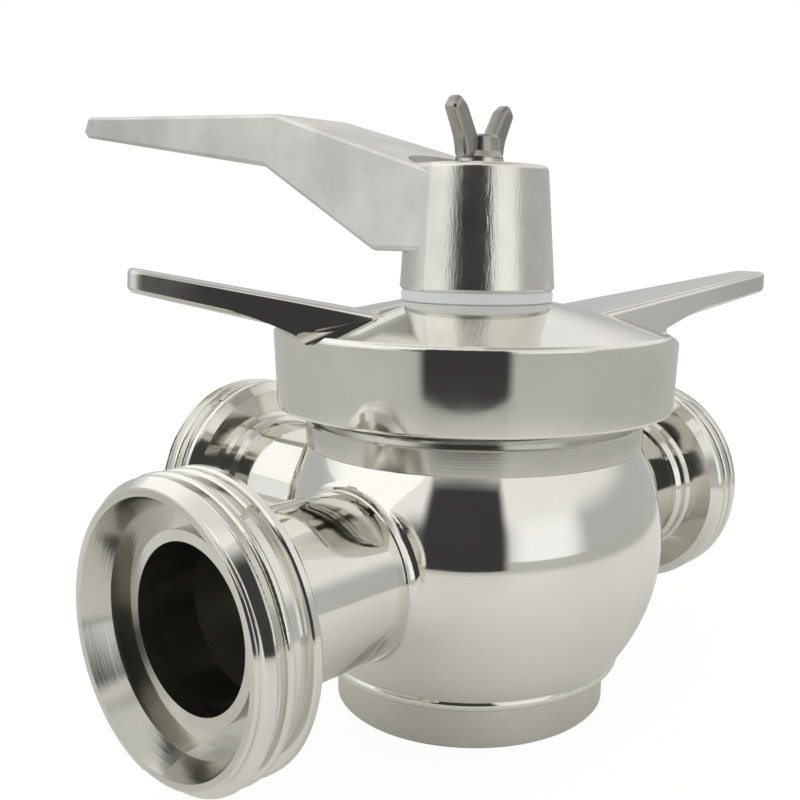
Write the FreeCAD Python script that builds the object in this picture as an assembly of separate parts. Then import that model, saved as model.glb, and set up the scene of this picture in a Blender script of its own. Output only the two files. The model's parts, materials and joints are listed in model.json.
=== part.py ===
"""Sanitary three way plug valve, hand operated, with three round-thread male unions.

Frame: +Z up along the stem, origin on the stem axis at the underside of the foot.
The straight run goes from the front port (-X) to the rear port (+X), the branch leaves along +Y.
All lengths are millimetres, all angles degrees.
"""
import FreeCAD, Part
import math
import os

Vector = FreeCAD.Vector
ORIGIN = Vector(0, 0, 0)
UP = Vector(0, 0, 1)

# ---- body -------------------------------------------------------------------------------------
GLOBE_R = 50.3
GLOBE_Z = 44.5
BODY_TOP_Z = 68.8
BODY_BOTTOM_Z = 5.0
SEAM_R = 36.9
BULGE_END_Z = 13.4
PORT_Z = 43.0
BORE_R = 18.0
TUBE_R = 20.3
OUTLET_R = 20.6
OUTLET_REACH = 47.8
OUTLET_BLEND = 2.6
TUBE_SOCKET = 3.0

FOOT_R = 36.0
FOOT_INNER_R = 31.0
FOOT_H = 11.4
FOOT_PLATE_T = 4.5
SPIGOT_R = FOOT_INNER_R - 0.05

# ---- tapered plug and its seat ----------------------------------------------------------------
PLUG_R = 30.0
TAPER = 1.0 / 12.0
PLUG_BOTTOM_Z = 16.0
PLUG_TOP_Z = 70.0
SEAT_GAP = 0.06
SEAT_FLOOR_Z = 13.5
STEM_R = 12.0
STEM_TOP_Z = 108.5
SQUARE_HALF = 7.0
SQUARE_TOP_Z = 136.0
STEM_HOLE_R = 4.0
STEM_HOLE_BOTTOM_Z = 118.0
SEAL_Z = (85.0, 90.0)
SEAL_WIRE_R = 0.88
SEAL_GROOVE_W = 2.3
SEAL_GROOVE_DEPTH = 1.75

# ---- neck, packing and cap nut ----------------------------------------------------------------
NECK_R = 44.3
NECK_BORE_R = 36.0
NECK_PLAIN_TOP_Z = 75.2
NECK_TOP_Z = 93.3
THREAD_PITCH = 25.4 / 6.0
THREAD_SLIM = 0.12
THREAD_FOOT = (0.465, -0.06)
THREAD_LOW_FLANK = (0.283, 0.31)
THREAD_HIGH_FLANK = (0.229, 0.69)
THREAD_SINK = 0.35
NECK_ROOT_R = 41.4
NECK_CREST_R = 43.35
NECK_THREAD_START_Z = 75.4
PACKING_TOP_Z = 76.0
GLAND_FLANGE_TOP_Z = 83.0
GLAND_HUB_R = 26.0
GLAND_BORE_R = 12.07
GLAND_R = 35.8
CAP_CEILING_Z = 95.0
GASKET_INNER_R = 36.4
GASKET_OUTER_R = 41.0
CAP_BOTTOM_Z = 79.0
CAP_EDGE_Z = 99.0
CAP_TOP_Z = 105.8
CAP_R = 52.5
CAP_BOTTOM_R = 51.6
CAP_LAND_R = 20.0
CAP_STEM_HOLE_R = 12.5
CAP_BORE_R = 43.6
CAP_CREST_R = 41.75
CAP_THREAD_BOTTOM_Z = 81.45
CAP_THREAD_TOP_Z = 91.6

# ---- arms of the cap nut ----------------------------------------------------------------------
ARM_AZIMUTH = 150.5
ARM_REACH = 86.6
ARM_START = 22.0
ARM_ROOT_HALF_W = 15.3
ARM_ROOT_AT = 31.0
ARM_TIP_HALF_W = 6.5
ARM_TOP_AT_50 = 107.2
ARM_TOP_SLOPE = 0.187
ARM_TIP_T = 5.5
ARM_UNDER_SLOPE = 0.236
ARM_HEEL = 56.3
ARM_HEEL_R = 4.4
ARM_FOOT_Z = 96.0
ARM_EDGE_R = 1.2
ARM_HEEL_RUN = 1.5
ARM_HEEL_MIDDLE = (0.62, 0.27)
ARM_FOOT_SINK = 0.3
ARM_TIP_LEAN = 0.3
ARM_SHOULDER = (32.5, 14.8)
ARM_SHOULDER_SLOPE = 1.05
ARM_BLANK_W = 60.0
ARM_BLANK_Z = (90.0, 120.0)
ARM_TIP_CORNER_R = 5.0
ARM_FOOT_BLEND = 1.0
NARROW_SCOOP_R = 10.0
NARROW_SCOOP_START = (27.0, 9.0)
NARROW_SCOOP_END = (47.0, 17.6)
NARROW_SCOOP_DEPTH = 1.4
SCOOP_LENGTH = 49.0
SCOOP_RUN_IN = 8.0
WIDE_SCOOP_R = 15.5
WIDE_SCOOP_AT = (44.5, -56.0)
WIDE_SCOOP_FLOOR_Z = 96.4
WIDE_SCOOP_SKEW = 0.03
CAP_EDGE_R = 1.3

# ---- lever handle -----------------------------------------------------------------------------
LEVER_AZIMUTH = 87.0
HUB_BOTTOM_Z = 108.7
HUB_TOP_Z = 140.5
HUB_BOTTOM_R = 20.25
HUB_DRAFT = 0.0739
HUB_FACE_R = 18.3
LEVER_SIDE_TAPER = 2.3
LEVER_EDGE_R = 1.3
LEVER_STEP = (20.7, 118.4)
LEVER_BEND_UNDER = (71.8, 141.8)
LEVER_TIP_UNDER = (188.6, 156.7)
LEVER_TIP_FRONT = (191.6, 158.9)
LEVER_TIP_TOP = (188.4, 164.4)
LEVER_BEND_TOP = (66.9, 156.8)
LEVER_SLOPE_START = (0.0, 138.5)
LEVER_FIT = 0.05
SOCKET_TOP_Z = 136.3
BOLT_CLEAR_R = 4.5
WASHER_R = 19.75
WASHER_BORE_R = 12.6
WASHER_LIFT = 0.02

# ---- wing bolt --------------------------------------------------------------------------------
WING_AZIMUTH = 187.0
WING_SEAT_Z = 142.0
WING_BOSS_R = 5.4
WING_BOSS_TOP_Z = 148.1
WING_THICK = 4.4
WING_LOW_CORNER = (9.0, WING_SEAT_Z)
WING_WAIST = (10.3, 147.0)
WING_TIP_OUT = (14.6, 154.2)
WING_TIP_TOP = (12.0, 157.2)
WING_TIP_IN = (8.7, 155.2)
WING_CROTCH = (3.4, 147.7)
WING_EDGE_R = 1.6
BOLT_PITCH = 1.25
BOLT_ROOT_R = 3.35
BOLT_CREST_R = 3.93
BOLT_END_Z = 121.0
BOLT_THREAD_TURNS = 13.0
LOCK_WASHER_R = 6.3
LOCK_WASHER_BORE_R = 4.1
LOCK_WASHER_GAP = 0.02

# ---- unions: radius and distance from the stem axis -------------------------------------------
UNION_NECK_L = 76.6
UNION_COLLAR_R = 22.0
UNION_BACK_L = 82.1
UNION_BACK_R = 29.9
UNION_LIP_L = 84.4
UNION_LIP_END_L = 86.3
UNION_CREST_R = 32.5
UNION_ROOT_R = 30.35
UNION_CHAMFER_L = 95.3
UNION_FACE_L = 98.25
UNION_FACE_OUTER_R = 30.2
UNION_FACE_INNER_R = 28.4
UNION_STEP = (26.0, 92.5)
UNION_FLOOR = (25.5, 88.0)
UNION_LAND = (20.4, 91.0)
UNION_THREAD_START_L = 87.9
UNION_THREAD_TURNS = 2.55
UNION_THREAD_START_ANGLE = 150.0

PORTS = {"front": 180.0, "rear": 0.0, "branch": 90.0}


def turned(points):
    """Solid of revolution about Z from (radius, height) points."""
    corners = [Vector(r, 0, z) for r, z in points]
    face = Part.Face(Part.makePolygon(corners + corners[:1]))
    return face.revolve(ORIGIN, UP, 360)


def ring(inner, outer, low, high):
    return turned([(inner, low), (outer, low), (outer, high), (inner, high)])


def disc(radius, low, high):
    return Part.makeCylinder(radius, high - low, Vector(0, 0, low))


def prism(points, plane, low, high):
    """Polygon in the XY or XZ plane, extruded from low to high along the plane's normal."""
    if plane == "XY":
        corners = [Vector(a, b, low) for a, b in points]
        along = Vector(0, 0, high - low)
    else:
        corners = [Vector(a, low, b) for a, b in points]
        along = Vector(0, high - low, 0)
    return Part.Face(Part.makePolygon(corners + corners[:1])).extrude(along)


def about_z(shape, angle):
    moved = shape.copy()
    moved.rotate(ORIGIN, UP, angle)
    return moved


def to_port(shape, azimuth):
    """Turns a shape drawn along +Z, with height as distance from the stem, onto a port."""
    moved = shape.copy()
    moved.rotate(ORIGIN, Vector(0, 1, 0), 90)
    moved.rotate(ORIGIN, UP, azimuth)
    moved.translate(Vector(0, 0, PORT_Z))
    return moved


def rounded(shape, radius, wanted):
    """Fillets the edges for which wanted(edge) is true."""
    edges = [edge for edge in shape.Edges if wanted(edge)]
    return shape.makeFillet(radius, edges)


def round_thread(root, crest, start, turns, angle=0.0, slim=0.0, pitch=THREAD_PITCH):
    """Helical ridge of round-thread section. crest may be inside root, for an internal thread."""
    def at(share, height, side):
        """Point of the section at a share of the pitch to one side and a share of the depth."""
        return Vector(root + height * (crest - root), 0, start + side * (share * pitch - slim))

    def half(side):
        """Root curve and flank on one side of the ridge."""
        foot = at(*THREAD_FOOT, side)
        low = at(*THREAD_LOW_FLANK, side)
        high = at(*THREAD_HIGH_FLANK, side)
        bend = at(THREAD_LOW_FLANK[0] + 0.06, 0.08, side)
        return [Part.Arc(foot, bend, low).toShape(), Part.LineSegment(low, high).toShape()]

    sides = (-1, 1)
    tips = [at(*THREAD_HIGH_FLANK, side) for side in sides]
    top = Part.Arc(tips[0], Vector(crest, 0, start), tips[1]).toShape()
    sunk = -THREAD_SINK / abs(crest - root)
    feet = [at(*THREAD_FOOT, side) for side in sides]
    below = [at(THREAD_FOOT[0], sunk, side) for side in sides]
    under = [feet[0], below[0], below[1], feet[1]]
    closing = [Part.LineSegment(a, b).toShape() for a, b in zip(under, under[1:])]
    section = Part.Wire(Part.__sortEdges__(half(-1) + [top] + half(1) + closing))
    path = Part.makeHelix(pitch, turns * pitch, root)
    path.translate(Vector(0, 0, start))
    sweep = Part.BRepOffsetAPI.MakePipeShell(path)
    sweep.setFrenetMode(True)
    sweep.add(section)
    sweep.build()
    sweep.makeSolid()
    return about_z(sweep.shape(), angle)


# ---- welded body ------------------------------------------------------------------------------

def globe_outline():
    """Outer meridian of the globe from the foot seam up to the neck."""
    def on_globe(z):
        return Vector(math.sqrt(GLOBE_R ** 2 - (z - GLOBE_Z) ** 2), 0, z)
    low = on_globe(BULGE_END_Z)
    high = on_globe(BODY_TOP_Z)
    spigot_foot = Vector(SPIGOT_R, 0, BODY_BOTTOM_Z)
    spigot_top = Vector(SPIGOT_R, 0, FOOT_H)
    seam = Vector(SEAM_R, 0, FOOT_H)
    edges = [
        Part.LineSegment(Vector(0, 0, BODY_BOTTOM_Z), spigot_foot),
        Part.LineSegment(spigot_foot, spigot_top),
        Part.LineSegment(spigot_top, seam),
        Part.Arc(seam, Vector(0.52 * (seam.x + low.x) + 0.1, 0, 0.5 * (seam.z + low.z) - 0.25), low),
        Part.Arc(low, on_globe(GLOBE_Z), high),
        Part.LineSegment(high, Vector(0, 0, BODY_TOP_Z)),
        Part.LineSegment(Vector(0, 0, BODY_TOP_Z), Vector(0, 0, BODY_BOTTOM_Z)),
    ]
    return Part.Face(Part.Wire([edge.toShape() for edge in edges]))


def seat_radius(z):
    return PLUG_R + SEAT_GAP + (z - PORT_Z) * TAPER


def body_shell():
    """Cast globe with short blended outlets, a blind tapered seat and three port holes."""
    shell = globe_outline().revolve(ORIGIN, UP, 360)
    for azimuth in PORTS.values():
        shell = shell.fuse(to_port(disc(OUTLET_R, 40.0, OUTLET_REACH), azimuth))
    shell = rounded(shell, OUTLET_BLEND, meets_outlet)
    seat = turned([
        (0, SEAT_FLOOR_Z),
        (seat_radius(SEAT_FLOOR_Z), SEAT_FLOOR_Z),
        (seat_radius(BODY_TOP_Z + 1), BODY_TOP_Z + 1),
        (0, BODY_TOP_Z + 1),
    ])
    shell = shell.cut(seat)
    for azimuth in PORTS.values():
        shell = shell.cut(to_port(disc(BORE_R, 10.0, 60.0), azimuth))
        shell = shell.cut(to_port(disc(TUBE_R, OUTLET_REACH - TUBE_SOCKET, 60.0), azimuth))
    return shell


def meets_outlet(edge):
    """True for the seam between the globe and one of the round outlets."""
    point = edge.valueAt(edge.FirstParameter)
    from_centre = math.hypot(point.x, point.y, point.z - GLOBE_Z)
    from_run_axis = math.hypot(point.y, point.z - PORT_Z)
    from_branch_axis = math.hypot(point.x, point.z - PORT_Z)
    off_axis = min(abs(from_run_axis - OUTLET_R), abs(from_branch_axis - OUTLET_R))
    return abs(from_centre - GLOBE_R) < 0.05 and off_axis < 0.05


def neck_ring():
    """Turned neck with the male round thread for the cap nut."""
    blank = turned([
        (NECK_BORE_R, BODY_TOP_Z),
        (NECK_R - 0.3, BODY_TOP_Z),
        (NECK_R, BODY_TOP_Z + 0.3),
        (NECK_R, NECK_PLAIN_TOP_Z - 0.5),
        (NECK_R - 0.5, NECK_PLAIN_TOP_Z),
        (NECK_ROOT_R, NECK_PLAIN_TOP_Z),
        (NECK_ROOT_R, NECK_TOP_Z),
        (NECK_BORE_R, NECK_TOP_Z),
    ])
    turns = (NECK_TOP_Z - NECK_PLAIN_TOP_Z) / THREAD_PITCH
    ridge = round_thread(NECK_ROOT_R, NECK_CREST_R, NECK_THREAD_START_Z, turns, slim=THREAD_SLIM)
    blank = blank.fuse(ridge)
    envelope = turned([
        (NECK_BORE_R - 1, BODY_TOP_Z - 1),
        (NECK_R + 1, BODY_TOP_Z - 1),
        (NECK_R + 1, NECK_TOP_Z - 1.6),
        (NECK_ROOT_R - 0.2, NECK_TOP_Z),
        (NECK_BORE_R - 1, NECK_TOP_Z),
    ])
    return blank.common(envelope)


def foot_ring():
    """Turned ring the valve stands on."""
    chamfer = 0.5
    return turned([
        (FOOT_INNER_R, 0),
        (FOOT_R - chamfer, 0),
        (FOOT_R, chamfer),
        (FOOT_R, FOOT_H - 0.4),
        (FOOT_R - 0.4, FOOT_H),
        (FOOT_INNER_R, FOOT_H),
    ])


def foot_plate():
    """Round plate closing the foot from below."""
    return disc(SPIGOT_R, 0.0, FOOT_PLATE_T)


def port_tube(azimuth):
    return to_port(ring(BORE_R, TUBE_R, OUTLET_REACH - TUBE_SOCKET, UNION_NECK_L), azimuth)


def union_end(azimuth):
    """Male union: weld neck, flat back, round thread, coned mouth and a land round the bore."""
    profile = [
        (BORE_R, UNION_NECK_L),
        (TUBE_R + 0.6, UNION_NECK_L),
        (UNION_COLLAR_R, UNION_NECK_L + 1.4),
        (UNION_COLLAR_R, UNION_BACK_L - 0.9),
        (UNION_COLLAR_R + 0.9, UNION_BACK_L),
        (UNION_BACK_R, UNION_BACK_L),
        (UNION_CREST_R - 0.5, UNION_LIP_L - 0.4),
        (UNION_CREST_R, UNION_LIP_L + 0.2),
        (UNION_CREST_R, UNION_LIP_END_L - 0.4),
        (UNION_CREST_R - 0.4, UNION_LIP_END_L),
        (UNION_ROOT_R, UNION_LIP_END_L + 0.6),
        (UNION_ROOT_R, UNION_FACE_L - 0.4),
        (UNION_FACE_OUTER_R - 0.3, UNION_FACE_L),
        (UNION_FACE_INNER_R, UNION_FACE_L),
        UNION_STEP,
        UNION_FLOOR,
        (UNION_LAND[0], UNION_FLOOR[1]),
        UNION_LAND,
        (BORE_R, UNION_LAND[1]),
    ]
    ridge = round_thread(UNION_ROOT_R, UNION_CREST_R, UNION_THREAD_START_L, UNION_THREAD_TURNS,
                         UNION_THREAD_START_ANGLE)
    envelope = turned([
        (BORE_R + 5, UNION_BACK_L),
        (UNION_CREST_R + 1, UNION_BACK_L),
        (UNION_CREST_R + 1, UNION_CHAMFER_L - 1.26),
        (UNION_FACE_OUTER_R, UNION_FACE_L),
        (BORE_R + 11, UNION_FACE_L),
        (BORE_R + 5, UNION_FLOOR[1] - 2),
    ])
    blank = turned(profile)
    return to_port(blank.fuse(ridge.common(envelope)), azimuth)


# ---- plug, stem and seals ---------------------------------------------------------------------

def plug_radius(z):
    return PLUG_R + (z - PORT_Z) * TAPER


def stem_outline():
    points = [(0, PLUG_BOTTOM_Z), (plug_radius(PLUG_BOTTOM_Z) - 1, PLUG_BOTTOM_Z)]
    points.append((plug_radius(PLUG_BOTTOM_Z + 1), PLUG_BOTTOM_Z + 1))
    points.append((plug_radius(PLUG_TOP_Z - 0.8), PLUG_TOP_Z - 0.8))
    points.append((plug_radius(PLUG_TOP_Z) - 0.8, PLUG_TOP_Z))
    points.append((STEM_R, PLUG_TOP_Z))
    for z in SEAL_Z:
        points.append((STEM_R, z - SEAL_GROOVE_W / 2))
        points.append((STEM_R - SEAL_GROOVE_DEPTH, z - SEAL_GROOVE_W / 2))
        points.append((STEM_R - SEAL_GROOVE_DEPTH, z + SEAL_GROOVE_W / 2))
        points.append((STEM_R, z + SEAL_GROOVE_W / 2))
    points.append((STEM_R, STEM_TOP_Z - 0.6))
    points.append((STEM_R - 0.6, STEM_TOP_Z))
    points.append((0, STEM_TOP_Z))
    return points


def plug():
    """Tapered plug with a T-shaped passage, its stem, square and tapped end."""
    solid = turned(stem_outline())
    side = 2 * SQUARE_HALF
    square = Part.makeBox(side, side, SQUARE_TOP_Z - STEM_TOP_Z + 1,
                          Vector(-SQUARE_HALF, -SQUARE_HALF, STEM_TOP_Z - 1))
    square = about_z(square, LEVER_AZIMUTH)
    solid = solid.fuse(square)
    solid = solid.cut(disc(STEM_HOLE_R, STEM_HOLE_BOTTOM_Z, SQUARE_TOP_Z + 1))
    run = to_port(disc(BORE_R, -40.0, 40.0), 0.0)
    branch = to_port(disc(BORE_R, 0.0, 40.0), PORTS["branch"])
    return solid.cut(run).cut(branch)


def stem_seal(z):
    """Rubber ring seated in a stem groove."""
    centre_r = STEM_R - SEAL_GROOVE_DEPTH + SEAL_WIRE_R + 0.01
    return Part.makeTorus(centre_r, SEAL_WIRE_R, Vector(0, 0, z))


# ---- packing and gland ------------------------------------------------------------------------

def packing_ring():
    return ring(GLAND_BORE_R, GLAND_R, PLUG_TOP_Z + 0.05, PACKING_TOP_Z)


def gland_ring():
    """Pressure ring between the packing and the cap nut."""
    return turned([
        (GLAND_BORE_R, PACKING_TOP_Z),
        (GLAND_R, PACKING_TOP_Z),
        (GLAND_R, GLAND_FLANGE_TOP_Z),
        (GLAND_HUB_R + 1, GLAND_FLANGE_TOP_Z),
        (GLAND_HUB_R, GLAND_FLANGE_TOP_Z + 1),
        (GLAND_HUB_R, CAP_CEILING_Z - 0.05),
        (GLAND_BORE_R, CAP_CEILING_Z - 0.05),
    ])


def body_gasket():
    return ring(GASKET_INNER_R, GASKET_OUTER_R - 0.4, NECK_TOP_Z, CAP_CEILING_Z - 0.05)


# ---- cap nut ----------------------------------------------------------------------------------

def cone_height(radius):
    return CAP_TOP_Z - (CAP_TOP_Z - CAP_EDGE_Z) * (radius - CAP_LAND_R) / (CAP_R - CAP_LAND_R)


def arm_top(reach):
    return ARM_TOP_AT_50 + ARM_TOP_SLOPE * (reach - 50.0)


def arm_under(reach):
    return arm_top(ARM_REACH) - ARM_TIP_T - ARM_UNDER_SLOPE * (ARM_REACH - reach)


def cap_arm():
    """Tapered blade along +X, rising outwards, with a rounded heel where it leaves the rim."""
    heel = Vector(ARM_HEEL, 0, arm_under(ARM_HEEL))
    foot = Vector(ARM_HEEL - ARM_HEEL_R - ARM_HEEL_RUN, 0, cone_height(CAP_R) - ARM_FOOT_SINK)
    inward, down = (share * ARM_HEEL_R for share in ARM_HEEL_MIDDLE)
    middle = Vector(ARM_HEEL - inward, 0, heel.z - down)
    corners = [
        Vector(foot.x, 0, ARM_FOOT_Z),
        Vector(ARM_START, 0, ARM_FOOT_Z),
        Vector(ARM_START, 0, arm_top(ARM_START)),
        Vector(ARM_REACH, 0, arm_top(ARM_REACH)),
        Vector(ARM_REACH + ARM_TIP_LEAN, 0, arm_under(ARM_REACH + ARM_TIP_LEAN)),
        heel,
    ]
    edges = [Part.LineSegment(a, b).toShape() for a, b in zip(corners, corners[1:])]
    edges.append(Part.Arc(heel, middle, foot).toShape())
    edges.append(Part.LineSegment(foot, corners[0]).toShape())
    side = Part.Face(Part.Wire(edges))
    side.translate(Vector(0, -ARM_BLANK_W / 2, 0))
    blade = side.extrude(Vector(0, ARM_BLANK_W, 0))
    spread = (ARM_ROOT_HALF_W - ARM_TIP_HALF_W) / (ARM_REACH - ARM_ROOT_AT)
    start_w = ARM_ROOT_HALF_W + spread * (ARM_ROOT_AT - ARM_START)
    plan = prism([
        (ARM_START, -start_w),
        (ARM_REACH + 1, -ARM_TIP_HALF_W),
        (ARM_REACH + 1, ARM_TIP_HALF_W),
        ARM_SHOULDER,
        (ARM_START, ARM_SHOULDER[1] - (ARM_SHOULDER[0] - ARM_START) * ARM_SHOULDER_SLOPE),
    ], "XY", *ARM_BLANK_Z)
    plan = rounded(plan, ARM_TIP_CORNER_R, at_arm_tip)
    blade = blade.common(plan)
    return rounded(blade, ARM_EDGE_R, lambda edge: edge.BoundBox.XMax > ARM_HEEL + 1)


def at_arm_tip(edge):
    return edge.BoundBox.XMin > ARM_REACH and edge.BoundBox.ZLength > ARM_TIP_T


def scoops():
    """Two round hollows beside an arm, one narrow and one wide, drawn for the arm along +X."""
    start = Vector(*NARROW_SCOOP_START, 0)
    start.z = cone_height(start.Length) + NARROW_SCOOP_R
    end = Vector(*NARROW_SCOOP_END, 0)
    end.z = cone_height(end.Length) - NARROW_SCOOP_DEPTH + NARROW_SCOOP_R
    way = (end - start).normalize()
    narrow = Part.makeCylinder(NARROW_SCOOP_R, SCOOP_LENGTH, start - way * SCOOP_RUN_IN, way)
    low_end = Vector(*WIDE_SCOOP_AT, WIDE_SCOOP_FLOOR_Z + WIDE_SCOOP_R)
    wide = Part.makeCylinder(WIDE_SCOOP_R, SCOOP_LENGTH, low_end, Vector(WIDE_SCOOP_SKEW, 1, 0))
    return [narrow, wide]


def cap_nut():
    """Heavy round nut with a coned top, female round thread and two turning arms."""
    blank = turned([
        (CAP_STEM_HOLE_R, CAP_CEILING_Z),
        (CAP_BORE_R + 0.6, CAP_CEILING_Z),
        (CAP_BORE_R + 0.6, CAP_CEILING_Z - 1.8),
        (CAP_BORE_R, CAP_CEILING_Z - 2.4),
        (CAP_BORE_R, CAP_BOTTOM_Z + 1.2),
        (CAP_BORE_R + 1.2, CAP_BOTTOM_Z),
        (CAP_BOTTOM_R, CAP_BOTTOM_Z),
        (CAP_R, CAP_EDGE_Z),
        (CAP_LAND_R, CAP_TOP_Z),
        (CAP_STEM_HOLE_R, CAP_TOP_Z),
    ])
    blank = rounded(blank, CAP_EDGE_R, lambda edge: edge.BoundBox.XMax > CAP_R - 0.1)
    blank = rounded(blank, 0.8, lambda edge: is_circle(edge, CAP_BOTTOM_R, CAP_BOTTOM_Z))
    for turn in (0.0, 180.0):
        for scoop in scoops():
            blank = blank.cut(about_z(scoop, ARM_AZIMUTH + turn))
    for turn in (0.0, 180.0):
        blank = blank.fuse(about_z(cap_arm(), ARM_AZIMUTH + turn))
    blank = rounded(blank, ARM_FOOT_BLEND, along_arm_foot)
    turns = (CAP_THREAD_TOP_Z - CAP_THREAD_BOTTOM_Z) / THREAD_PITCH
    start = NECK_THREAD_START_Z + 1.5 * THREAD_PITCH
    ridge = round_thread(CAP_BORE_R, CAP_CREST_R, start, turns, slim=THREAD_SLIM)
    return blank.fuse(ridge)


def along_arm_foot(edge):
    """True for the long edges where an arm's sides meet the floor of a scoop."""
    middle = edge.CenterOfMass
    turn = math.radians(ARM_AZIMUTH)
    reach = abs(middle.x * math.cos(turn) + middle.y * math.sin(turn))
    side = abs(middle.y * math.cos(turn) - middle.x * math.sin(turn))
    low = WIDE_SCOOP_FLOOR_Z - 0.5 < middle.z < CAP_EDGE_Z - 0.3
    return low and edge.Length > 8 and 38 < reach < 45 and 12.4 < side < 14.6


def is_circle(edge, radius, z):
    box = edge.BoundBox
    return abs(box.XMax - radius) < 0.02 and abs(box.ZMin - z) < 0.02 and box.ZLength < 0.01


# ---- lever handle -----------------------------------------------------------------------------

def hub_radius(z):
    return HUB_BOTTOM_R - HUB_DRAFT * (z - HUB_BOTTOM_Z)


def lever_plan(z):
    """Plan of the lever at height z: two sides tangent to the hub, narrowing to the tip."""
    lean = math.radians(LEVER_SIDE_TAPER)
    radius = hub_radius(z)
    reach = LEVER_TIP_FRONT[0] + 3
    touch = (radius * math.sin(lean), radius * math.cos(lean))
    tip_half = radius / math.cos(lean) - reach * math.tan(lean)
    corners = [(touch[0], -touch[1]), (reach, -tip_half), (reach, tip_half), touch]
    return Part.makePolygon([Vector(x, y, z) for x, y in corners + corners[:1]])


def lever_blade():
    """Cranked blade: steep from the hub to the bend, then long and thinning."""
    profile = [
        (-1.0, LEVER_STEP[1]),
        LEVER_STEP,
        LEVER_BEND_UNDER,
        LEVER_TIP_UNDER,
        LEVER_TIP_FRONT,
        LEVER_TIP_TOP,
        LEVER_BEND_TOP,
        (-1.0, LEVER_SLOPE_START[1]),
    ]
    side = prism(profile, "XZ", -30.0, 30.0)
    bends = [LEVER_BEND_UNDER, LEVER_BEND_TOP, LEVER_STEP]
    side = rounded(side, 5.0, lambda edge: crosses(edge, bends))
    side = rounded(side, 1.6, lambda edge: crosses(edge, [LEVER_TIP_UNDER, LEVER_TIP_TOP]))
    plan = Part.makeLoft([lever_plan(100.0), lever_plan(175.0)], True, True)
    return side.common(plan)


def crosses(edge, points, width=20.0):
    """True for a sideways edge, at least as long as width, through one of the (x, z) points."""
    if edge.BoundBox.YLength < width - 0.01:
        return False
    middle = edge.CenterOfMass
    return any(math.hypot(middle.x - x, middle.z - z) < 0.2 for x, z in points)


def lever_handle():
    """Cast lever on a drafted hub, faced on top, with a square socket from below."""
    hub = turned([
        (0, HUB_BOTTOM_Z),
        (HUB_BOTTOM_R - 0.8, HUB_BOTTOM_Z),
        (hub_radius(HUB_BOTTOM_Z + 0.8), HUB_BOTTOM_Z + 0.8),
        (hub_radius(HUB_TOP_Z), HUB_TOP_Z),
        (0, HUB_TOP_Z),
    ])
    hub = rounded(hub, 1.4, lambda edge: is_circle(edge, hub_radius(HUB_TOP_Z), HUB_TOP_Z))
    blade = lever_blade()
    blade = rounded(blade, LEVER_EDGE_R, lambda edge: edge.BoundBox.XMin > 3 and edge.BoundBox.XLength > 1)
    solid = hub.fuse(blade)
    solid = solid.cut(disc(HUB_FACE_R, HUB_TOP_Z, HUB_TOP_Z + 20))
    half = SQUARE_HALF + LEVER_FIT
    socket = Part.makeBox(2 * half, 2 * half, SOCKET_TOP_Z - HUB_BOTTOM_Z + 1,
                          Vector(-half, -half, HUB_BOTTOM_Z - 1))
    solid = solid.cut(socket).cut(disc(BOLT_CLEAR_R, SOCKET_TOP_Z - 1, HUB_TOP_Z + 1))
    return about_z(solid, LEVER_AZIMUTH)


def handle_washer():
    """Plastic washer under the hub."""
    edge = 0.3
    low = CAP_TOP_Z + WASHER_LIFT
    high = HUB_BOTTOM_Z
    return turned([
        (WASHER_BORE_R, low),
        (WASHER_R - edge, low),
        (WASHER_R, low + edge),
        (WASHER_R, high - edge),
        (WASHER_R - edge, high),
        (WASHER_BORE_R, high),
    ])


# ---- wing bolt --------------------------------------------------------------------------------

def lock_washer():
    return ring(LOCK_WASHER_BORE_R, LOCK_WASHER_R, HUB_TOP_Z + LOCK_WASHER_GAP, WING_SEAT_Z)


def one_wing():
    """Wing along +X, curving up and out from the boss to a rounded tip."""
    inner = [(0, WING_SEAT_Z), WING_LOW_CORNER]
    outer = [WING_WAIST, WING_TIP_OUT, WING_TIP_TOP, WING_TIP_IN, WING_CROTCH]
    wing = prism(inner + outer + [(0, WING_CROTCH[1])], "XZ", -WING_THICK / 2, WING_THICK / 2)
    corner_radii = {
        WING_WAIST: 7.0,
        WING_TIP_OUT: 1.8,
        WING_TIP_TOP: 1.3,
        WING_TIP_IN: 2.2,
        WING_LOW_CORNER: 0.8,
    }
    for corner, radius in corner_radii.items():
        wing = rounded(wing, radius, lambda edge: crosses(edge, [corner], WING_THICK))
    return rounded(wing, WING_EDGE_R, lambda edge: edge.BoundBox.XMax > 7 and edge.BoundBox.YLength < 0.01)


def wing_bolt():
    """Cast wing head and its threaded shank, one piece."""
    boss = turned([
        (0, WING_SEAT_Z),
        (WING_BOSS_R + 0.8, WING_SEAT_Z),
        (WING_BOSS_R + 0.8, WING_SEAT_Z + 0.5),
        (WING_BOSS_R, WING_SEAT_Z + 2.0),
        (WING_BOSS_R - 0.3, WING_BOSS_TOP_Z - 0.6),
        (WING_BOSS_R - 0.9, WING_BOSS_TOP_Z),
        (0, WING_BOSS_TOP_Z),
    ])
    shank = turned([
        (0, BOLT_END_Z),
        (BOLT_ROOT_R - 0.6, BOLT_END_Z),
        (BOLT_ROOT_R, BOLT_END_Z + 0.6),
        (BOLT_ROOT_R, WING_SEAT_Z + 1),
        (0, WING_SEAT_Z + 1),
    ])
    ridge = round_thread(BOLT_ROOT_R, BOLT_CREST_R, BOLT_END_Z + BOLT_PITCH, BOLT_THREAD_TURNS,
                         pitch=BOLT_PITCH)
    shank = shank.fuse(ridge)
    solid = boss.fuse(shank).fuse(one_wing()).fuse(about_z(one_wing(), 180.0))
    return about_z(solid, WING_AZIMUTH)


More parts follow.
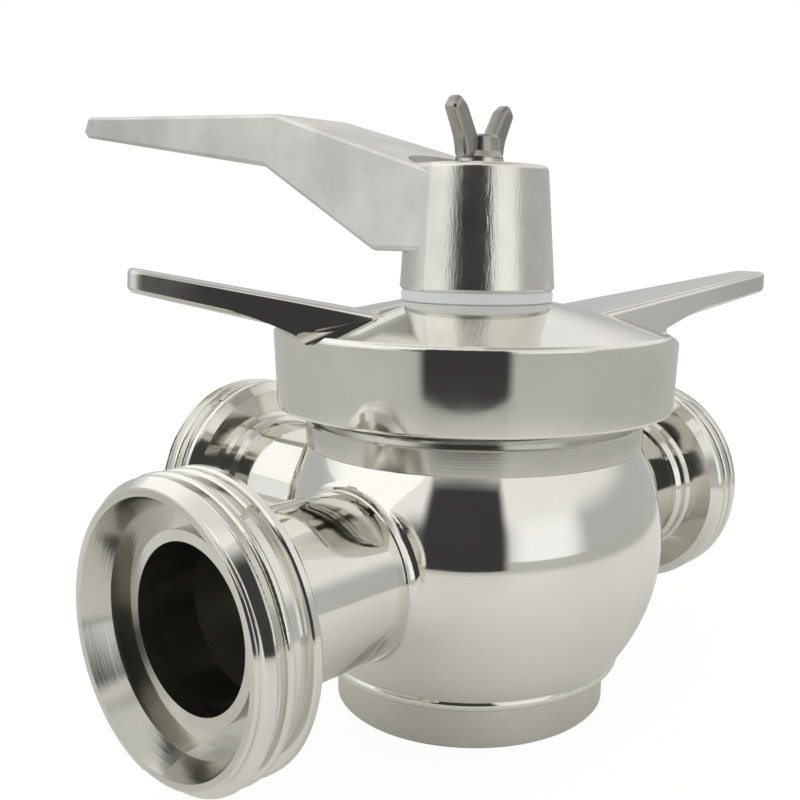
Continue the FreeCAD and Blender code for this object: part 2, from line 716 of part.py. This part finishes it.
def build():
    parts = {
        "body_shell": body_shell(),
        "neck_ring": neck_ring(),
        "foot_ring": foot_ring(),
        "foot_plate": foot_plate(),
        "body_gasket": body_gasket(),
        "plug": plug(),
        "lower_stem_seal": stem_seal(SEAL_Z[0]),
        "upper_stem_seal": stem_seal(SEAL_Z[1]),
        "packing_ring": packing_ring(),
        "gland_ring": gland_ring(),
        "cap_nut": cap_nut(),
        "handle_washer": handle_washer(),
        "lever_handle": lever_handle(),
        "lock_washer": lock_washer(),
        "wing_bolt": wing_bolt(),
    }
    for name, azimuth in PORTS.items():
        parts[name + "_tube"] = port_tube(azimuth)
        parts[name + "_union"] = union_end(azimuth)
    return parts


def main():
    os.makedirs("parts", exist_ok=True)
    for name, shape in build().items():
        shape.exportStep(os.path.join("parts", name + ".step"))
        print(name, len(shape.Solids), round(shape.Volume), shape.isValid())


main()
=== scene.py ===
"""Looks of a sanitary three way plug valve: polished, satin and cast stainless steel, PTFE and rubber."""
import json
import math
from collections import namedtuple

import bpy
from mathutils import Matrix, Vector

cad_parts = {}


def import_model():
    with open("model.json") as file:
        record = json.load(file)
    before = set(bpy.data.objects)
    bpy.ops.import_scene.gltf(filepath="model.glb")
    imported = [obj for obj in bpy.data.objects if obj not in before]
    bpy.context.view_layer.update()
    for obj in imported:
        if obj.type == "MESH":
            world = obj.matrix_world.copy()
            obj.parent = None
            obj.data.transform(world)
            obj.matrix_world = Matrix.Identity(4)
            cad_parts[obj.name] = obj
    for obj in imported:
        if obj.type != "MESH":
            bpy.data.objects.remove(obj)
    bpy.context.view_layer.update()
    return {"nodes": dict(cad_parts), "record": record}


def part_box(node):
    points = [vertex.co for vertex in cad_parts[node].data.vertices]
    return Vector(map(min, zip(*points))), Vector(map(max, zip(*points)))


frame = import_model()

MM = 0.001
NODES = frame["nodes"]

FRONT_UNION_LOW, FRONT_UNION_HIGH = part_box("front_union")
PORT_Z = (FRONT_UNION_LOW.z + FRONT_UNION_HIGH.z) / 2
UNION_FACE_L = -FRONT_UNION_LOW.x
UNION_CREST_R = (FRONT_UNION_HIGH.z - FRONT_UNION_LOW.z) / 2
BORE_R = {m["name"]: m for m in frame["record"]["mounts"]}["front_bore"]["dims"]["r_mm"] * MM

# The cap nut's round rim and the lever's bearing from +X, the same as in the CAD model.
CAP_R = 52.5 * MM
LEVER_TURN = math.radians(87.0)


# ---- node helpers -----------------------------------------------------------------------------

# scale: cells a metre; stretch: scale along each axis; turn: slant in radians.
Grain = namedtuple("Grain", "scale detail roughness stretch turn", defaults=((1, 1, 1), (0, 0, 0)))

# How far a bevelled normal agrees with the plain one on a flat face and on a sharp edge.
BEVEL_SAMPLES = 4
FLAT_MATCH = 0.995
SHARP_MATCH = 0.86


class Graph:
    """A node tree with short calls to add and join nodes."""

    def __init__(self, tree, place="Object"):
        self.tree = tree
        self.place = self.add("ShaderNodeTexCoord").outputs[place]

    def add(self, kind, **settings):
        node = self.tree.nodes.new(kind)
        for key, value in settings.items():
            setattr(node, key, value)
        return node

    def feed(self, socket, value):
        if isinstance(value, bpy.types.NodeSocket):
            self.tree.links.new(value, socket)
        else:
            socket.default_value = value

    def math(self, operation, first, second=0.0):
        node = self.add("ShaderNodeMath", operation=operation)
        self.feed(node.inputs[0], first)
        self.feed(node.inputs[1], second)
        return node.outputs[0]

    def times(self, first, second):
        return self.math("MULTIPLY", first, second)

    def plus(self, first, second):
        return self.math("ADD", first, second)

    def ramp(self, value, from_low, from_high, low=0.0, high=1.0):
        """Smooth step of a value from one range to another, held beyond both ends."""
        node = self.add("ShaderNodeMapRange", interpolation_type="SMOOTHSTEP")
        self.feed(node.inputs["Value"], value)
        self.feed(node.inputs["From Min"], from_low)
        self.feed(node.inputs["From Max"], from_high)
        self.feed(node.inputs["To Min"], low)
        self.feed(node.inputs["To Max"], high)
        return node.outputs["Result"]

    def mix(self, factor, first, second):
        node = self.add("ShaderNodeMix", data_type="FLOAT")
        self.feed(node.inputs["Factor"], factor)
        self.feed(node.inputs["A"], first)
        self.feed(node.inputs["B"], second)
        return node.outputs["Result"]

    def mix_colour(self, factor, first, second):
        node = self.add("ShaderNodeMix", data_type="RGBA")
        self.feed(node.inputs["Factor"], factor)
        self.feed(node.inputs["A"], first)
        self.feed(node.inputs["B"], second)
        return node.outputs["Result"]

    def noise(self, grain, at=None):
        """Noise of one grain over the object's own coordinates, or over those given."""
        mapping = self.add("ShaderNodeMapping")
        self.feed(mapping.inputs["Vector"], at or self.place)
        mapping.inputs["Rotation"].default_value = grain.turn
        mapping.inputs["Scale"].default_value = grain.stretch
        node = self.add("ShaderNodeTexNoise")
        self.feed(node.inputs["Vector"], mapping.outputs["Vector"])
        node.inputs["Scale"].default_value = grain.scale
        node.inputs["Detail"].default_value = grain.detail
        node.inputs["Roughness"].default_value = grain.roughness
        return node.outputs["Fac"]

    def split(self, vector):
        node = self.add("ShaderNodeSeparateXYZ")
        self.feed(node.inputs[0], vector)
        return node.outputs

    def join(self, x, y, z):
        node = self.add("ShaderNodeCombineXYZ")
        for socket, value in zip(node.inputs, (x, y, z)):
            self.feed(socket, value)
        return node.outputs[0]

    def length(self, first, second):
        return self.math("SQRT", self.plus(self.times(first, first), self.times(second, second)))

    def round_axis(self, axis):
        """Radius from, distance along and angle about the X, Y or Z axis of the valve."""
        x, y, z = self.split(self.place)
        if axis != "Z":
            z = self.math("SUBTRACT", z, PORT_Z)
        along, first, second = {"X": (x, y, z), "Y": (y, x, z), "Z": (z, x, y)}[axis]
        return self.length(first, second), along, self.math("ARCTAN2", second, first)

    def edges(self, radius):
        """One on sharp outer edges, zero on flat faces."""
        bevel = self.add("ShaderNodeBevel", samples=BEVEL_SAMPLES)
        bevel.inputs["Radius"].default_value = radius
        plain = self.add("ShaderNodeNewGeometry").outputs["Normal"]
        dot = self.add("ShaderNodeVectorMath", operation="DOT_PRODUCT")
        self.feed(dot.inputs[0], bevel.outputs["Normal"])
        self.feed(dot.inputs[1], plain)
        return self.ramp(dot.outputs["Value"], FLAT_MATCH, SHARP_MATCH)


class Coat(Graph):
    """A material's graph with its main shader."""

    def __init__(self, name):
        self.material = bpy.data.materials.new(name)
        self.material.use_nodes = True
        super().__init__(self.material.node_tree)
        self.shader = self.tree.nodes["Principled BSDF"]

    def set(self, socket, value):
        self.feed(self.shader.inputs[socket], value)

    def bump(self, height_mm):
        node = self.add("ShaderNodeBump")
        self.feed(node.inputs["Height"], height_mm)
        node.inputs["Distance"].default_value = MM
        self.set("Normal", node.outputs["Normal"])


def dress(names, material):
    """Gives CAD nodes one material all over."""
    for name in names:
        mesh = NODES[name].data
        mesh.materials.clear()
        mesh.materials.append(material)


# ---- steel finishes ---------------------------------------------------------------------------
# tint, blotch: base colour and how much darker its blotches are; rough, spread: mean roughness and
# its cloudy variation; rings, skin, hairs: depth in mm of lathe rings, cast texture and scratches.

Finish = namedtuple("Finish", "tint blotch rough spread rings skin hairs")

MIRROR = Finish((0.83, 0.82, 0.77), 0.05, 0.045, 0.025, 0.0004, 0.0, 0.0004)
TUBE_POLISH = Finish((0.82, 0.81, 0.76), 0.06, 0.06, 0.03, 0.001, 0.0, 0.0008)
CAP_POLISH = Finish((0.82, 0.81, 0.76), 0.07, 0.055, 0.03, 0.0008, 0.0, 0.0008)
THREAD_POLISH = Finish((0.82, 0.81, 0.76), 0.06, 0.10, 0.04, 0.002, 0.0, 0.001)
# The turned tint is darker than the polished ones: partly the turned finish, partly painted shade for the
# unions' recessed mouths. The washers, plug and gland ring share it.
TURNED_WITH_PAINTED_SHADE = Finish((0.66, 0.65, 0.605), 0.10, 0.17, 0.05, 0.014, 0.0, 0.002)
BRUSHED = Finish((0.71, 0.70, 0.65), 0.10, 0.13, 0.04, 0.006, 0.001, 0.003)
ARM_SATIN = Finish((0.73, 0.715, 0.665), 0.12, 0.26, 0.06, 0.0, 0.004, 0.004)
CAST_SATIN = Finish((0.72, 0.715, 0.675), 0.17, 0.36, 0.07, 0.0, 0.018, 0.006)
HUB_POLISH = Finish((0.78, 0.765, 0.71), 0.14, 0.15, 0.07, 0.0, 0.022, 0.036)
BOLT_CAST = Finish((0.42, 0.41, 0.37), 0.26, 0.22, 0.08, 0.0, 0.018, 0.008)
BORE_DULL = Finish((0.42, 0.42, 0.39), 0.12, 0.38, 0.06, 0.006, 0.0, 0.002)

# The grain behind each of them. Rings wander a little with the angle. A range is the part of the
# noise over which a value goes from its least to its most.
CLOUD = Grain(34.0, 5.0, 0.6)
CLOUD_RANGE = (0.3, 0.7)
BLOTCH = Grain(42.0, 4.0, 0.55)
BLOTCH_RANGE = (0.34, 0.66)
RINGS = Grain(1500.0, 3.0, 0.7)
RING_WANDER = 0.0006
SKIN = Grain(420.0, 3.0, 0.55)
LEFT_HAIRS = Grain(1700.0, 3.0, 0.65, (1.0, 1.0, 0.09), (-0.35, -0.30, 0.0))
RIGHT_HAIRS = Grain(2100.0, 2.0, 0.6, (1.0, 1.0, 0.12), (0.50, 0.40, 0.0))

# Sharp edges get a lighter, smoother colour in patches: partly wear, partly a painted highlight along the
# edges.
WEAR_AND_HIGHLIGHT = Grain(55.0, 4.0, 0.6)
WEAR_AND_HIGHLIGHT_RANGE = (0.35, 0.65)
WORN_AND_HIGHLIT_LEAST, WORN_AND_HIGHLIT_MOST = 0.2, 0.7
WORN_AND_HIGHLIT_TINT = (0.84, 0.835, 0.81, 1.0)
WORN_ROUGHNESS = 0.20


def finish_values(graph, finish, axis):
    """Colour, roughness and height in mm that one finish gives."""
    smoothest, roughest = finish.rough - finish.spread, finish.rough + finish.spread
    rough = graph.ramp(graph.noise(CLOUD), *CLOUD_RANGE, smoothest, roughest)
    shade = graph.ramp(graph.noise(BLOTCH), *BLOTCH_RANGE)
    deep = tuple(channel * (1.0 - finish.blotch) for channel in finish.tint)
    colour = graph.mix_colour(shade, (*deep, 1.0), (*finish.tint, 1.0))
    height = 0.0
    if finish.rings:
        radius, along, angle = graph.round_axis(axis)
        lines = graph.noise(RINGS, at=graph.join(radius, along, graph.times(angle, RING_WANDER)))
        height = graph.plus(height, graph.times(lines, finish.rings))
    if finish.skin:
        height = graph.plus(height, graph.times(graph.noise(SKIN), finish.skin))
    if finish.hairs:
        crossed = graph.plus(graph.noise(LEFT_HAIRS), graph.noise(RIGHT_HAIRS))
        height = graph.plus(height, graph.times(crossed, finish.hairs))
    return colour, rough, height


def steel(name, finish, axis="Z", other=None, where=None, edge=0.0):
    """Stainless steel of one finish, or of another where a mask says so; sharp edges are lightened by wear
    and by a painted highlight.
    """
    graph = Coat(name)
    colour, rough, height = finish_values(graph, finish, axis)
    if other:
        mask = where(graph)
        second = finish_values(graph, other, axis)
        colour = graph.mix_colour(mask, colour, second[0])
        rough = graph.mix(mask, rough, second[1])
        height = graph.mix(mask, height, second[2])
    if edge:
        patches = graph.ramp(graph.noise(WEAR_AND_HIGHLIGHT), *WEAR_AND_HIGHLIGHT_RANGE, WORN_AND_HIGHLIT_LEAST, WORN_AND_HIGHLIT_MOST)
        worn_and_highlit = graph.times(graph.edges(edge), patches)
        # Lighter tint on the edges: partly wear, partly a painted highlight.
        colour = graph.mix_colour(worn_and_highlit, colour, WORN_AND_HIGHLIT_TINT)
        rough = graph.mix(worn_and_highlit, rough, WORN_ROUGHNESS)
    graph.set("Base Color", colour)
    graph.set("Roughness", rough)
    graph.set("Metallic", 1.0)
    graph.bump(height)
    return graph.material


# Where a second finish starts and is full: across the hub from the stem's axis, out from the cap
# nut's rim, in from a union's crest and from its face, and out from the bore's wall.
HUB_START, HUB_FULL = 0.5 * MM, -0.5 * MM
ARM_START, ARM_FULL = 0.5 * MM, 32 * MM
MOUTH_INSET_START, MOUTH_INSET_FULL = 2.4 * MM, 3.0 * MM
MOUTH_DEPTH_START, MOUTH_DEPTH_FULL = 13 * MM, 12 * MM
BORE_START, BORE_FULL = 0.4 * MM, 0.1 * MM


def behind_hub(graph):
    """The half of the hub that faces away from the lever, which is polished."""
    x, y, _ = graph.split(graph.place)
    reach = graph.plus(graph.times(x, math.cos(LEVER_TURN)), graph.times(y, math.sin(LEVER_TURN)))
    return graph.ramp(reach, HUB_START, HUB_FULL)


def past_rim(graph):
    """The arms of the cap nut, more and more towards their tips."""
    radius, _, _ = graph.round_axis("Z")
    return graph.ramp(radius, CAP_R + ARM_START, CAP_R + ARM_FULL)


def union_mouth(axis):
    """Mask of the coned mouth, the step and the land, inside the crest and near the outer face."""
    def mask(graph):
        radius, along, _ = graph.round_axis(axis)
        inside = graph.ramp(radius, UNION_CREST_R - MOUTH_INSET_START, UNION_CREST_R - MOUTH_INSET_FULL)
        distance = graph.math("ABSOLUTE", along)
        outer_end = graph.ramp(distance, UNION_FACE_L - MOUTH_DEPTH_START, UNION_FACE_L - MOUTH_DEPTH_FULL)
        return graph.times(inside, outer_end)
    return mask


def bore(axis):
    """Mask of the flow bore's wall."""
    def mask(graph):
        radius, _, _ = graph.round_axis(axis)
        return graph.ramp(radius, BORE_R + BORE_START, BORE_R + BORE_FULL)
    return mask


PLASTIC_CLOUD = Grain(60.0, 4.0, 0.5)
PLASTIC_RANGE = (0.2, 0.8)
PLASTIC_SHADE = 0.94
PLASTIC_SPREAD = 0.06
PLASTIC_SKIN = Grain(900.0, 2.0, 0.5)
PLASTIC_SKIN_DEPTH = 0.01
PLASTIC_GLOW_DEPTH = 0.8 * MM


def plastic(name, base, roughness, subsurface=0.0):
    """PTFE or rubber: faint clouds of shade and roughness over a fine moulded skin."""
    graph = Coat(name)
    cloud = graph.noise(PLASTIC_CLOUD)
    shade = tuple(channel * PLASTIC_SHADE for channel in base)
    smoothest, roughest = roughness - PLASTIC_SPREAD, roughness + PLASTIC_SPREAD
    graph.set("Base Color", graph.mix_colour(cloud, (*shade, 1.0), (*base, 1.0)))
    graph.set("Roughness", graph.ramp(cloud, *PLASTIC_RANGE, smoothest, roughest))
    graph.set("Subsurface Weight", subsurface)
    graph.set("Subsurface Scale", PLASTIC_GLOW_DEPTH)
    graph.bump(graph.times(graph.noise(PLASTIC_SKIN), PLASTIC_SKIN_DEPTH))
    return graph.material


WHITE_PTFE = (0.91, 0.94, 0.955)
BLACK_RUBBER = (0.02, 0.02, 0.02)

dress(["body_shell"], steel("globe_mirror", MIRROR))
dress(["front_tube", "rear_tube"], steel("run_tube", TUBE_POLISH, "X", BORE_DULL, bore("X")))
dress(["branch_tube"], steel("branch_tube", TUBE_POLISH, "Y", BORE_DULL, bore("Y")))
# The unions' mouths take the darker turned tint: partly their turned finish, partly painted shade in the
# recess.
dress(["front_union", "rear_union"], steel("run_union", THREAD_POLISH, "X", TURNED_WITH_PAINTED_SHADE, union_mouth("X")))
dress(["branch_union"], steel("branch_union", THREAD_POLISH, "Y", TURNED_WITH_PAINTED_SHADE, union_mouth("Y")))
dress(["neck_ring", "foot_ring", "foot_plate"], steel("brushed_rings", BRUSHED))
dress(["cap_nut"], steel("cap_polish", CAP_POLISH, "Z", ARM_SATIN, past_rim, edge=0.5 * MM))
dress(["lever_handle"], steel("lever_cast", CAST_SATIN, "Z", HUB_POLISH, behind_hub, edge=0.6 * MM))
dress(["wing_bolt"], steel("bolt_cast", BOLT_CAST, edge=0.4 * MM))
dress(["lock_washer", "plug", "gland_ring"], steel("turned_steel", TURNED_WITH_PAINTED_SHADE))
dress(["handle_washer", "packing_ring"], plastic("white_ptfe", WHITE_PTFE, 0.33, 0.2))
dress(["body_gasket", "lower_stem_seal", "upper_stem_seal"], plastic("black_rubber", BLACK_RUBBER, 0.5))


# ---- studio -----------------------------------------------------------------------------------
# A pale room with a bright ceiling, dimmer overhead, two broad bright sides and a dark side behind
# the camera. Bearings and half widths are in degrees, anticlockwise from +X seen from above. START
# and FULL are heights on a sphere of radius one round the valve.

Side = namedtuple("Side", "bearing half_width soft glow")

ROOM_GLOW = 0.52
ROOM_TINT = (0.985, 1.0, 1.0, 1)
CEILING_START, CEILING_FULL = 0.17, 0.42
CEILING_GLOW = 0.92
CEILING_TINT = (1.0, 0.99, 0.975, 1)
ZENITH_START, ZENITH_FULL = 0.72, 0.94
ZENITH_GLOW = 0.5
SIDES = [Side(150, 24, 14, 1.0), Side(262, 18, 10, 1.05), Side(208, 26, 8, 0.14)]
WHITE = (1, 1, 1, 1)


def camera_is_white(graph, colour, strength):
    """What the camera sees behind the object is plain white, whatever the metal reflects."""
    seen = graph.add("ShaderNodeLightPath").outputs["Is Camera Ray"]
    return graph.mix_colour(seen, colour, WHITE), graph.mix(seen, strength, 1.0)


def facing_side(graph, side, x, y):
    """One towards the middle of a side of the room, softly down to zero past its half width."""
    turn = math.radians(side.bearing)
    towards = graph.plus(graph.times(x, math.cos(turn)), graph.times(y, math.sin(turn)))
    level = graph.math("DIVIDE", towards, graph.length(x, y))
    outer = math.cos(math.radians(side.half_width + side.soft))
    inner = math.cos(math.radians(side.half_width - side.soft))
    return graph.ramp(level, outer, inner)


def world():
    """Pale room, darker behind the camera, with a bright ceiling that dims overhead."""
    made = bpy.data.worlds.new("studio")
    bpy.context.scene.world = made
    made.use_nodes = True
    graph = Graph(made.node_tree, "Generated")
    x, y, z = graph.split(graph.place)
    glow = ROOM_GLOW
    for side in SIDES:
        glow = graph.mix(facing_side(graph, side, x, y), glow, side.glow)
    up = graph.ramp(z, CEILING_START, CEILING_FULL)
    overhead = graph.ramp(z, ZENITH_START, ZENITH_FULL)
    glow = graph.mix(overhead, graph.mix(up, glow, CEILING_GLOW), ZENITH_GLOW)
    tint = graph.mix_colour(up, ROOM_TINT, CEILING_TINT)
    colour, strength = camera_is_white(graph, tint, glow)
    shader = made.node_tree.nodes["Background"]
    graph.feed(shader.inputs["Color"], colour)
    graph.feed(shader.inputs["Strength"], strength)


def panel(name, centre, facing, width, height):
    """A flat rectangle whose front looks at a point."""
    mesh = bpy.data.meshes.new(name)
    x, y = width / 2, height / 2
    mesh.from_pydata([(-x, -y, 0), (x, -y, 0), (x, y, 0), (-x, y, 0)], [], [(0, 1, 2, 3)])
    board = bpy.data.objects.new(name, mesh)
    bpy.context.scene.collection.objects.link(board)
    board.location = centre
    board.rotation_euler = (Vector(facing) - Vector(centre)).to_track_quat("Z", "Y").to_euler()
    return board


FLOOR_HALF = 0.8
FLOOR_GAP = 0.2 * MM
FLOOR_PALE = (0.88, 0.875, 0.85, 1)
FLOOR_FALLOFF_SHADE = (0.50, 0.50, 0.485, 1)
FLOOR_GLOW_TINT = (1.0, 0.99, 0.96, 1)
FLOOR_GLOW = 0.06
FLOOR_ROUGHNESS = 0.55
FLOOR_WHITE = 1.06
FALLOFF_START, FALLOFF_FULL = 0.27, 0.40
WHITE_START, WHITE_FULL = 0.20, 0.45
WHITE_UNDER_VALVE = 0.86


def floor():
    """Pale table top that the camera sees as white, but for a faint contact shadow; its colour is painted
    darker further out, a painted fall-off of light.
    """
    graph = Coat("pale_floor")
    x, y, _ = graph.split(graph.place)
    radius = graph.length(x, y)
    # Painted shade: the floor's colour darkens away from the valve, a painted fall-off of light seen in
    # the steel's reflections.
    outer = graph.ramp(radius, FALLOFF_START, FALLOFF_FULL)
    graph.set("Base Color", graph.mix_colour(outer, FLOOR_PALE, FLOOR_FALLOFF_SHADE))
    graph.set("Emission Color", FLOOR_GLOW_TINT)
    graph.set("Emission Strength", FLOOR_GLOW)
    graph.set("Roughness", FLOOR_ROUGHNESS)
    white = graph.add("ShaderNodeEmission")
    blend = graph.add("ShaderNodeMixShader")
    seen = graph.add("ShaderNodeLightPath").outputs["Is Camera Ray"]
    share = graph.ramp(radius, WHITE_START, WHITE_FULL, WHITE_UNDER_VALVE, 1.0)
    graph.feed(blend.inputs["Fac"], graph.times(seen, share))
    graph.feed(blend.inputs[1], graph.shader.outputs[0])
    graph.feed(blend.inputs[2], white.outputs[0])
    graph.feed(white.inputs["Strength"], FLOOR_WHITE)
    graph.feed(graph.tree.nodes["Material Output"].inputs["Surface"], blend.outputs[0])
    ground = panel("floor", (0, 0, -FLOOR_GAP), (0, 0, 1), 2 * FLOOR_HALF, 2 * FLOOR_HALF)
    ground.data.materials.append(graph.material)


FLAG_BEARING = 214
FLAG_DISTANCE = 0.37
FLAG_HALF_WIDTH = 0.18
FLAG_TOP = 0.44
FLAG_EDGE = 0.05
FLAG_FADE = 0.14
FLAG_GREY = (0.047, 0.047, 0.048, 1)


def flag():
    """Dark grey cloth behind the camera: one soft-edged dark band in the polished steel."""
    graph = Coat("flag")
    x, y, _ = graph.split(graph.place)
    beside = graph.ramp(graph.math("ABSOLUTE", x), FLAG_HALF_WIDTH - FLAG_EDGE, FLAG_HALF_WIDTH)
    above = graph.ramp(y, FLAG_TOP / 2 - FLAG_FADE, FLAG_TOP / 2)
    cloth = graph.add("ShaderNodeEmission")
    clear = graph.add("ShaderNodeBsdfTransparent")
    blend = graph.add("ShaderNodeMixShader")
    cloth.inputs["Color"].default_value = FLAG_GREY
    graph.feed(blend.inputs["Fac"], graph.math("MAXIMUM", beside, above))
    graph.feed(blend.inputs[1], cloth.outputs[0])
    graph.feed(blend.inputs[2], clear.outputs[0])
    graph.feed(graph.tree.nodes["Material Output"].inputs["Surface"], blend.outputs[0])
    turn = math.radians(FLAG_BEARING)
    centre = (FLAG_DISTANCE * math.cos(turn), FLAG_DISTANCE * math.sin(turn), FLAG_TOP / 2)
    board = panel("flag", centre, (0, 0, FLAG_TOP / 2), 2 * FLAG_HALF_WIDTH, FLAG_TOP)
    board.data.materials.append(graph.material)
    board.visible_camera = False
    board.visible_diffuse = False
    board.visible_shadow = False


KEY_PLACE = Vector((-0.5, 0.55, 1.1))
KEY_AIM = Vector((0, 0, 0.07))
KEY_SIZE = 2.0
KEY_POWER = 3.4


def key_light():
    """One wide soft box high on the camera's left."""
    lamp = bpy.data.lights.new("key", "AREA")
    lamp.shape = "SQUARE"
    lamp.size = KEY_SIZE
    lamp.energy = KEY_POWER
    box = bpy.data.objects.new("key", lamp)
    box.location = KEY_PLACE
    box.rotation_euler = (KEY_AIM - KEY_PLACE).to_track_quat("-Z", "Y").to_euler()
    bpy.context.scene.collection.objects.link(box)


# Angles in degrees, lens and sensor in millimetres, place in metres.
SENSOR_WIDTH = 36
CAMERA_PLACE = Vector((-0.2058, -0.1642, 0.1221))
CAMERA_YAW = -50.365
CAMERA_PITCH = 7.873
CAMERA_ROLL = -0.969
CAMERA_LENS = 45.14
CAMERA_SHIFT = (-0.0712, -0.0296)
CLIP_START = 0.01


def camera():
    """Camera at the photograph's viewing angle."""
    yaw, pitch, roll = (math.radians(a) for a in (CAMERA_YAW, CAMERA_PITCH, CAMERA_ROLL))
    level = math.cos(pitch)
    forward = Vector((-math.sin(yaw) * level, math.cos(yaw) * level, -math.sin(pitch)))
    right = Vector((math.cos(yaw), math.sin(yaw), 0))
    up = right.cross(forward)
    across = right * math.cos(roll) - up * math.sin(roll)
    upward = right * math.sin(roll) + up * math.cos(roll)
    data = bpy.data.cameras.new("view")
    data.sensor_width = SENSOR_WIDTH
    data.lens = CAMERA_LENS
    data.shift_x, data.shift_y = CAMERA_SHIFT
    data.clip_start = CLIP_START
    view = bpy.data.objects.new("view", data)
    facing = Matrix((across, upward, -forward)).transposed().to_4x4()
    view.matrix_world = Matrix.Translation(CAMERA_PLACE) @ facing
    bpy.context.scene.collection.objects.link(view)
    bpy.context.scene.camera = view


floor()
world()
flag()
key_light()
camera()
bpy.context.scene.view_settings.view_transform = "Standard"
